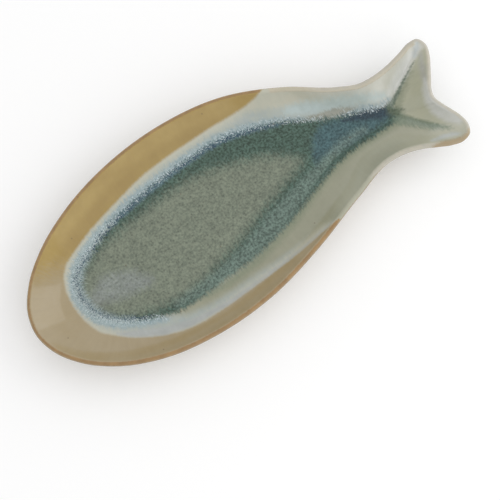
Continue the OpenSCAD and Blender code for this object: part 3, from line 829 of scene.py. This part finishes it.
# Size and height in mm of the swells of a fired glaze, and of the base coat's
RIPPLE = (9, 0.03)
BASE_RIPPLE = (12, 0.05)
# Heights in mm at which the veil of glaze on the foot starts and is full, its strength, and the height
# in mm of the clay's grit
VEIL_FROM, VEIL_FULL, VEIL_STRENGTH = 0.2, 1.6, 0.9
GRIT_HEIGHT = 0.08
# Refraction of glaze and fired clay
CERAMIC_IOR = 1.5


def coverage(tree, zone, ragged, soft, torn, strength):
    """How strongly a layer covers: full inside its zone, with a soft and ragged edge."""
    depth = add(tree, MARK, {"attribute_name": zone}).outputs["Fac"]
    depth = add(tree, MATH, {"operation": "MULTIPLY_ADD"}, {
        0: ragged, 1: RAGGED_REACH * torn, 2: depth}).outputs[0]
    return add(tree, RANGE, {"interpolation_type": "SMOOTHSTEP"}, {
        "Value": depth, "From Min": -soft, "From Max": soft, "To Max": strength}).outputs[0]


def mottling(tree, place, first, second, grain):
    """Two colours that mottle into each other with a grain in mm."""
    cloud = add(tree, NOISE, links={
        "Vector": place, "Scale": 1 / (grain * MM), "Detail": 3.0, "Roughness": 0.6}).outputs["Fac"]
    cloud = add(tree, RANGE, links={
        "Value": cloud, "From Min": MOTTLE_LOW, "From Max": MOTTLE_HIGH}).outputs[0]
    return add(tree, MIX, {"data_type": "RGBA"}, {
        FACTOR: cloud, FIRST: linear(first), SECOND: linear(second)}).outputs[MIXED]


def streaks(tree, across, down, detail):
    """Noise that is stretched down the walls, the way the glaze ran, with its sizes in mm."""
    drip = add(tree, MARK, {"attribute_name": "drip"}).outputs["Vector"]
    drip = add(tree, VECTOR_MATH, {"operation": "MULTIPLY"}, {
        0: drip, 1: (1 / across, 1 / across, 1 / down)}).outputs[0]
    noise = add(tree, NOISE, links={
        "Vector": drip, "Scale": 1.0, "Detail": detail, "Roughness": 0.65}).outputs["Fac"]
    return add(tree, MATH, {"operation": "SUBTRACT"}, {0: noise, 1: 0.5}).outputs[0]


def pool_grain(tree, colour, place):
    """Mottles the pool: slow clouds, and dark pin holes a few millimetres apart, which are larger than
    real ones, so that they show."""
    cloud = add(tree, NOISE, links={
        "Vector": place, "Scale": 1 / (CLOUD_SIZE * MM), "Detail": 2.0}).outputs["Fac"]
    cloud = add(tree, RANGE, links={
        "Value": cloud, "From Min": CLOUD_LOW, "From Max": CLOUD_HIGH,
        "To Min": CLOUD_DARK, "To Max": CLOUD_LIGHT}).outputs[0]
    pins = add(tree, CELLS, {"voronoi_dimensions": "2D"}, {
        "Vector": place, "Scale": 1 / (PINS_APART * MM)}).outputs["Distance"]
    pins = add(tree, RANGE, {"interpolation_type": "SMOOTHSTEP"}, {
        "Value": pins, "From Min": 0.0, "From Max": PIN_SIZE / PINS_APART,
        "To Min": PIN_SHADE, "To Max": 1.0}).outputs[0]
    shade = add(tree, MATH, {"operation": "MULTIPLY"}, {0: cloud, 1: pins}).outputs[0]
    pool = add(tree, MARK, {"attribute_name": "pool"}).outputs["Fac"]
    inside = add(tree, RANGE, links={
        "Value": pool, "From Min": 0.0, "From Max": POOL_GRAIN_FULL}).outputs[0]
    shade = add(tree, MIX, {"data_type": "FLOAT"}, {
        FACTOR: inside, FIRST_NUMBER: 1.0, SECOND_NUMBER: shade}).outputs[0]
    return add(tree, VECTOR_MATH, {"operation": "SCALE"}, {0: colour, "Scale": shade}).outputs[0]


def crystals(tree, colour):
    """Crystals where the halo runs into the pool: pale flecks round its edge, and navy specks inside.
    They are a little under 1 mm wide and 1 to 2 mm long, coarser than real ones, so that they show."""
    pool = add(tree, MARK, {"attribute_name": "pool"}).outputs["Fac"]
    near = add(tree, MARK, {"attribute_name": "crystals"}).outputs["Fac"]
    for tone, middle, crowding, across, down, strength in CRYSTAL_KINDS:
        away = add(tree, MATH, {"operation": "SUBTRACT"}, {0: pool, 1: middle}).outputs[0]
        away = add(tree, MATH, {"operation": "ABSOLUTE"}, {0: away}).outputs[0]
        crowd = add(tree, MATH, {"operation": "MULTIPLY_ADD"}, {
            0: away, 1: -CRYSTALS_THIN_OUT, 2: crowding}).outputs[0]
        edge = add(tree, MATH, {"operation": "MULTIPLY"}, {0: near, 1: CRYSTALS_EDGE}).outputs[0]
        crowd = add(tree, MATH, {"operation": "MINIMUM"}, {0: crowd, 1: edge}).outputs[0]
        grown = add(tree, MATH, {"operation": "ADD"}, {
            0: streaks(tree, across, down, detail=1.0), 1: crowd}).outputs[0]
        grown = add(tree, RANGE, {"interpolation_type": "SMOOTHSTEP"}, {
            "Value": grown, "From Min": 0.0, "From Max": CRYSTAL_SOFT, "To Max": strength}).outputs[0]
        colour = add(tree, MIX, {"data_type": "RGBA"}, {
            FACTOR: grown, FIRST: colour, SECOND: linear(tone)}).outputs[MIXED]
    return colour


def lay_over(tree, colour, place, layers):
    """Lays layers of glaze over a colour, with their mottling at a place."""
    ragged = streaks(tree, *RAGGED_NOISE)
    for zone, first, second, grain, soft, torn, strength in layers:
        amount = coverage(tree, zone, ragged, soft, torn, strength)
        tone = mottling(tree, place, first, second, grain)
        colour = add(tree, MIX, {"data_type": "RGBA"}, {
            FACTOR: amount, FIRST: colour, SECOND: tone}).outputs[MIXED]
    return colour


def glaze_colour(tree):
    """Lays the inside glazes over each other on the mottled colours of the first coat, with runs and
    iron specks in them and crystals over them."""
    place = add(tree, PLACE).outputs["Object"]
    colour = mottling(tree, place, *FIRST_COAT, FIRST_COAT_GRAIN)
    colour = lay_over(tree, colour, place, INSIDE_LAYERS)
    colour = pool_grain(tree, colour, place)
    runs = add(tree, MATH, {"operation": "MULTIPLY_ADD"}, {
        0: streaks(tree, *RUN_NOISE), 1: RUN_SHADE, 2: 1.0}).outputs[0]
    colour = add(tree, VECTOR_MATH, {"operation": "SCALE"}, {0: colour, "Scale": runs}).outputs[0]
    specks = add(tree, CELLS, {"voronoi_dimensions": "2D"}, {
        "Vector": place, "Scale": 1 / (SPECKS_APART * MM)}).outputs["Distance"]
    specks = add(tree, RANGE, {"interpolation_type": "SMOOTHSTEP"}, {
        "Value": specks, "From Min": SPECK_SIZE / SPECKS_APART, "From Max": 0.0,
        "To Max": SPECK_STRENGTH}).outputs[0]
    colour = add(tree, MIX, {"data_type": "RGBA"}, {
        FACTOR: specks, FIRST: colour, SECOND: linear(SPECK_COLOUR)}).outputs[MIXED]
    return crystals(tree, colour)


def ripple(tree, size, height):
    """Slow swells of a fired glaze, as a bump of that size and height in mm."""
    place = add(tree, PLACE).outputs["Object"]
    swell = add(tree, NOISE, links={
        "Vector": place, "Scale": 1 / (size * MM), "Detail": 2.0}).outputs["Fac"]
    return add(tree, BUMP, links={"Height": swell, "Strength": 1.0, "Distance": height * MM}).outputs[0]


def new_material(name, roughness):
    """A material with its node tree and its shader."""
    material = bpy.data.materials.new(name)
    material.use_nodes = True
    tree = material.node_tree
    shader = tree.nodes["Principled BSDF"]
    shader.inputs["Roughness"].default_value = roughness
    shader.inputs["IOR"].default_value = CERAMIC_IOR
    return material, tree, shader


def inside_glaze(name, roughness):
    """Reactive glaze, poured and fired to a glass: a gloss over colours that run and feather into each
    other."""
    material, tree, glass = new_material(name, roughness)
    tree.links.new(glaze_colour(tree), glass.inputs["Base Color"])
    tree.links.new(ripple(tree, *RIPPLE), glass.inputs["Normal"])
    return material


def outside_glaze(name, roughness):
    """Plain greige glaze on the outside: it darkens toward the foot, is tan under the lip, and turns
    pale where the inside glaze ran over the tail's lip, in streaks along the lip."""
    material, tree, glass = new_material(name, roughness)
    way = add(tree, MARK, {"attribute_name": "way"}).outputs["Fac"]
    place = add(tree, PLACE).outputs["Object"]
    cloud = add(tree, NOISE, links={
        "Vector": place, "Scale": 1 / (OUTSIDE_CLOUD_SIZE * MM), "Detail": 3.0}).outputs["Fac"]
    way = add(tree, MATH, {"operation": "MULTIPLY_ADD"}, {
        0: cloud, 1: OUTSIDE_CLOUD_SHIFT, 2: way}).outputs[0]
    height = add(tree, RANGE, {"interpolation_type": "SMOOTHSTEP"}, {
        "Value": way, "From Min": OUTSIDE_DARK_WAY, "From Max": OUTSIDE_LIGHT_WAY}).outputs[0]
    low, high = OUTSIDE_COAT
    colour = add(tree, MIX, {"data_type": "RGBA"}, {
        FACTOR: height, FIRST: linear(low), SECOND: linear(high)}).outputs[MIXED]
    along_lip = add(tree, MARK, {"attribute_name": "drip"}).outputs["Vector"]
    along_lip = add(tree, VECTOR_MATH, {"operation": "MULTIPLY"}, {
        0: along_lip, 1: (MM / LIP_STREAKS, MM / LIP_STREAKS, MM)}).outputs[0]
    colour = lay_over(tree, colour, along_lip, OUTSIDE_LAYERS)
    tree.links.new(colour, glass.inputs["Base Color"])
    tree.links.new(ripple(tree, *RIPPLE), glass.inputs["Normal"])
    return material


def base_glaze(name, first, second, roughness):
    """The greige glaze under the dish, inside the foot ring: fired dull, in slow clouds."""
    material, tree, glass = new_material(name, roughness)
    place = add(tree, PLACE).outputs["Object"]
    colour = mottling(tree, place, first, second, BASE_COAT_GRAIN)
    tree.links.new(colour, glass.inputs["Base Color"])
    tree.links.new(ripple(tree, *BASE_RIPPLE), glass.inputs["Normal"])
    return material


def bare_clay(name, light, dark, grit, roughness, stain=None):
    """Unglazed stoneware fired buff: dry and matt, mottled, with fine grit of a size in mm. With a
    stain its sides carry a thin veil of the glaze, down to the ground edge."""
    material, tree, clay = new_material(name, roughness)
    place = add(tree, PLACE).outputs["Object"]
    colour = mottling(tree, place, light, dark, CLAY_GRAIN)
    if stain:
        height = add(tree, "ShaderNodeSeparateXYZ", links={"Vector": place}).outputs["Z"]
        veil = add(tree, RANGE, {"interpolation_type": "SMOOTHSTEP"}, {
            "Value": height, "From Min": VEIL_FROM * MM, "From Max": VEIL_FULL * MM,
            "To Max": VEIL_STRENGTH}).outputs[0]
        colour = add(tree, MIX, {"data_type": "RGBA"}, {
            FACTOR: veil, FIRST: colour, SECOND: linear(stain)}).outputs[MIXED]
    tree.links.new(colour, clay.inputs["Base Color"])
    rough = add(tree, NOISE, links={
        "Vector": place, "Scale": 1 / (grit * MM), "Detail": 3.0}).outputs["Fac"]
    bump = add(tree, BUMP, links={
        "Height": rough, "Strength": 1.0, "Distance": GRIT_HEIGHT * MM}).outputs[0]
    tree.links.new(bump, clay.inputs["Normal"])
    return material


def stand_for(piece, node, slot, material):
    """Finishes a piece, and lets it stand for a node of the part."""
    piece.data.materials.append(material)
    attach(piece, "root")
    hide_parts(node)


platter = Platter()
marks, quads = platter.marks, platter.quads

# Row of quads k lies between row k - 1 and row k of the platter's points
band = np.arange(platter.rows + 1)[:, None]
outside = (band <= marks["lip"]) & ((band > marks["foot"]) | platter.between("fork", "fork"))
spilled = (band > marks["overflow"]) & (band <= marks["lip"]) & platter.between("neck", "neck")
amber_lines = ~platter.between("hip", "hip") | platter.between("near_tip", "near_root")
amber = (band > marks["amber"]) & (band <= marks["white"]) & amber_lines
coats = {
    "outer_glaze": outside & ~spilled,
    "tail_glaze": spilled,
    "rim_glaze": (band > marks["lip"]) & (band <= marks["amber"]),
    "amber_glaze": amber,
    "white_glaze": (band > marks["amber"]) & (band <= marks["green"]) & ~amber,
    "green_glaze": band > marks["green"],
}

fired_clay = bare_clay("fired_buff_stoneware", "#B8A486", "#A28C6C", grit=0.8, roughness=0.85)
# The foot ring's clay and its veil of glaze are much darker than the buff clay: painted shade under the
# platter, over the ground foot's own tone
shaded_foot_clay = bare_clay(
    "shaded_ground_buff_stoneware", "#7B6B50", "#69593F", grit=0.5, roughness=0.85, stain="#8A7E68")
# The slot of each coat and its finish: the walls are glossy, and the pool is duller
finishes = {
    "outer_glaze": ("greige_glaze", outside_glaze("greige_satin_glaze", roughness=0.3)),
    "tail_glaze": ("overflow_glaze", outside_glaze("pale_overflow_glaze", roughness=0.3)),
    "rim_glaze": ("brown_lip_glaze", inside_glaze("brown_broken_lip_glaze", roughness=0.2)),
    "amber_glaze": ("amber_glaze", inside_glaze("amber_iron_glaze", roughness=0.11)),
    "white_glaze": ("white_glaze", inside_glaze("white_halo_glaze", roughness=0.11)),
    "green_glaze": ("green_glaze", inside_glaze("green_pooled_glaze", roughness=0.26)),
}

dish = sheet_of(platter, "dish_stoneware", quads.reshape(-1, 4), sunk=True)
stand_for(dish, "dish_body", "fired_clay", fired_clay)
for node, mask in coats.items():
    coat_quads = quads[np.broadcast_to(mask, quads.shape[:2])]
    coat = sheet_of(platter, node + "_coat", coat_quads, sunk=False)
    stand_for(coat, node, *finishes[node])

outer_loop = foot_loop(platter, FOOT_LEDGE, steps_short=0, taper=1)
inner_loop = foot_loop(platter, FOOT_LEDGE + FOOT_WIDTH, INNER_STEPS_SHORT, INNER_TAPER)
loop_count = len(outer_loop)

# The foot ring's section, from its outer side down and round to its inner side, as shares of its
# width and heights in mm. Both corners are eased as on a ground foot
RING_SECTION = [
    (0, FOOT_HEIGHT), (0, 0.9), (0.05, 0.35), (0.12, 0.08), (0.2, 0), (0.8, 0), (0.88, 0.08),
    (0.95, 0.35), (1, 0.9), (1, FOOT_HEIGHT),
]
ring_rows = []
for share, z in RING_SECTION:
    edge = along(outer_loop, inner_loop, share)
    ring_rows.append(np.column_stack([edge, np.full(loop_count, z)]))
ring_faces = belt(len(RING_SECTION), loop_count, closed=True)
ring = new_piece("foot_ring_stoneware", np.vstack(ring_rows), ring_faces)
stand_for(ring, "foot_ring", "ground_foot", shaded_foot_clay)

# The coat inside the foot ring, whose edge creeps down the ring, as ways inward and heights in mm
BASE_SECTION = [(0, FOOT_HEIGHT), (0, 1.9), (0.3, 2.35), (1, FOOT_HEIGHT - OUTSIDE_GLAZE)]
base_rows = []
for inset, z in BASE_SECTION:
    edge = foot_loop(platter, FOOT_LEDGE + FOOT_WIDTH + inset, INNER_STEPS_SHORT, INNER_TAPER)
    base_rows.append(np.column_stack([edge, np.full(loop_count, z)]))
first_row = list(range(loop_count))
last_row = [k + (len(BASE_SECTION) - 1) * loop_count for k in first_row]
base_faces = belt(len(BASE_SECTION), loop_count, closed=False) + [first_row[::-1], last_row]
base_coat = new_piece("base_glaze_coat", np.vstack(base_rows), base_faces)
base_finish = base_glaze("greige_base_glaze", "#8A7F6D", "#9C917E", roughness=0.4)
stand_for(base_coat, "base_glaze", "base_greige_glaze", base_finish)


def seen_rays(tree):
    """1 for the rays that carry what the camera sees, straight or in a gloss, and 0 for lighting."""
    rays = add(tree, "ShaderNodeLightPath")
    seen = rays.outputs["Is Camera Ray"]
    for kind in ("Is Glossy Ray", "Is Transmission Ray"):
        seen = add(tree, MATH, {"operation": "MAXIMUM"}, {0: seen, 1: rays.outputs[kind]}).outputs[0]
    return seen


# A plain white tabletop, which keeps the soft shadow: half its width in metres, and how much it glows
# for the rays that the camera sees
FLOOR_HALF = 3.0
FLOOR_GLOW = 0.085
floor_mesh = bpy.data.meshes.new("tabletop")
floor_corners = [(-1, -1, 0), (1, -1, 0), (1, 1, 0), (-1, 1, 0)]
floor_mesh.from_pydata([Vector(corner) * FLOOR_HALF for corner in floor_corners], [], [(0, 1, 2, 3)])
floor = bpy.data.objects.new("tabletop", floor_mesh)
bpy.context.scene.collection.objects.link(floor)
floor_material, floor_tree, floor_paint = new_material("white_studio_card", roughness=1.0)
floor_paint.inputs["Base Color"].default_value = linear("#FAFAFA")
floor_paint.inputs["Specular IOR Level"].default_value = 0.0
glow = add(floor_tree, RANGE, links={"Value": seen_rays(floor_tree), "To Max": FLOOR_GLOW}).outputs[0]
floor_paint.inputs["Emission Color"].default_value = (1, 1, 1, 1)
floor_tree.links.new(glow, floor_paint.inputs["Emission Strength"])
floor_mesh.materials.append(floor_material)

# Even white studio light from all round, and two soft boxes
SKY_LIGHT = 0.84
world = bpy.data.worlds.new("studio")
bpy.context.scene.world = world
world.use_nodes = True
sky = world.node_tree
strength = add(sky, RANGE, links={"Value": seen_rays(sky), "To Min": SKY_LIGHT, "To Max": 1.0}).outputs[0]
background = sky.nodes["Background"]
background.inputs["Color"].default_value = (1, 1, 1, 1)
sky.links.new(strength, background.inputs["Strength"])


def soft_box(name, azimuth, elevation, distance, width, height, power):
    """A soft box that faces the platter from a direction in degrees, azimuth 0 from +X, with its
    distance and size in metres and its power in watts."""
    light = bpy.data.lights.new(name, "AREA")
    light.shape = "RECTANGLE"
    light.size, light.size_y, light.energy = width, height, power
    lamp = bpy.data.objects.new(name, light)
    a, e = math.radians(azimuth), math.radians(elevation)
    way = Vector((math.cos(a) * math.cos(e), math.sin(a) * math.cos(e), math.sin(e)))
    lamp.location = way * distance
    lamp.rotation_euler = way.to_track_quat("Z", "Y").to_euler()
    bpy.context.scene.collection.objects.link(lamp)


soft_box("front_box", azimuth=-80, elevation=27, distance=1.6, width=1.3, height=1.1, power=2.5)
soft_box("side_box", azimuth=-10, elevation=25, distance=1.6, width=1.33, height=1.5, power=7)

# The camera of the upper view: where it stands in degrees, azimuth 0 from -Y, its lens, and how the
# frame's origin sits from its axis in mm
CAMERA_AZIMUTH = -32.22
CAMERA_ELEVATION = 78.0
FOCAL_PIXELS = 1500
IMAGE_PIXELS = 500
SENSOR_WIDTH = 36
ORIGIN_RIGHT = -6.32
ORIGIN_DOWN = -33.7
ORIGIN_AHEAD = 1124.35
azimuth, elevation = math.radians(CAMERA_AZIMUTH), math.radians(CAMERA_ELEVATION)
right = Vector((math.cos(azimuth), math.sin(azimuth), 0))
level = Vector((math.sin(azimuth), -math.cos(azimuth), 0))
back = level * math.cos(elevation) + Vector((0, 0, math.sin(elevation)))
up = back.cross(right)
lens = bpy.data.cameras.new("photo_camera")
lens.sensor_width = SENSOR_WIDTH
lens.lens = FOCAL_PIXELS / IMAGE_PIXELS * SENSOR_WIDTH
camera = bpy.data.objects.new("photo_camera", lens)
camera.matrix_world = Matrix((
    (right.x, up.x, back.x, 0), (right.y, up.y, back.y, 0), (right.z, up.z, back.z, 0), (0, 0, 0, 1)))
camera.location = (back * ORIGIN_AHEAD - right * ORIGIN_RIGHT + up * ORIGIN_DOWN) * MM
bpy.context.scene.collection.objects.link(camera)
bpy.context.scene.camera = camera

bpy.context.scene.view_settings.view_transform = "Standard"

bpy.context.view_layer.update()
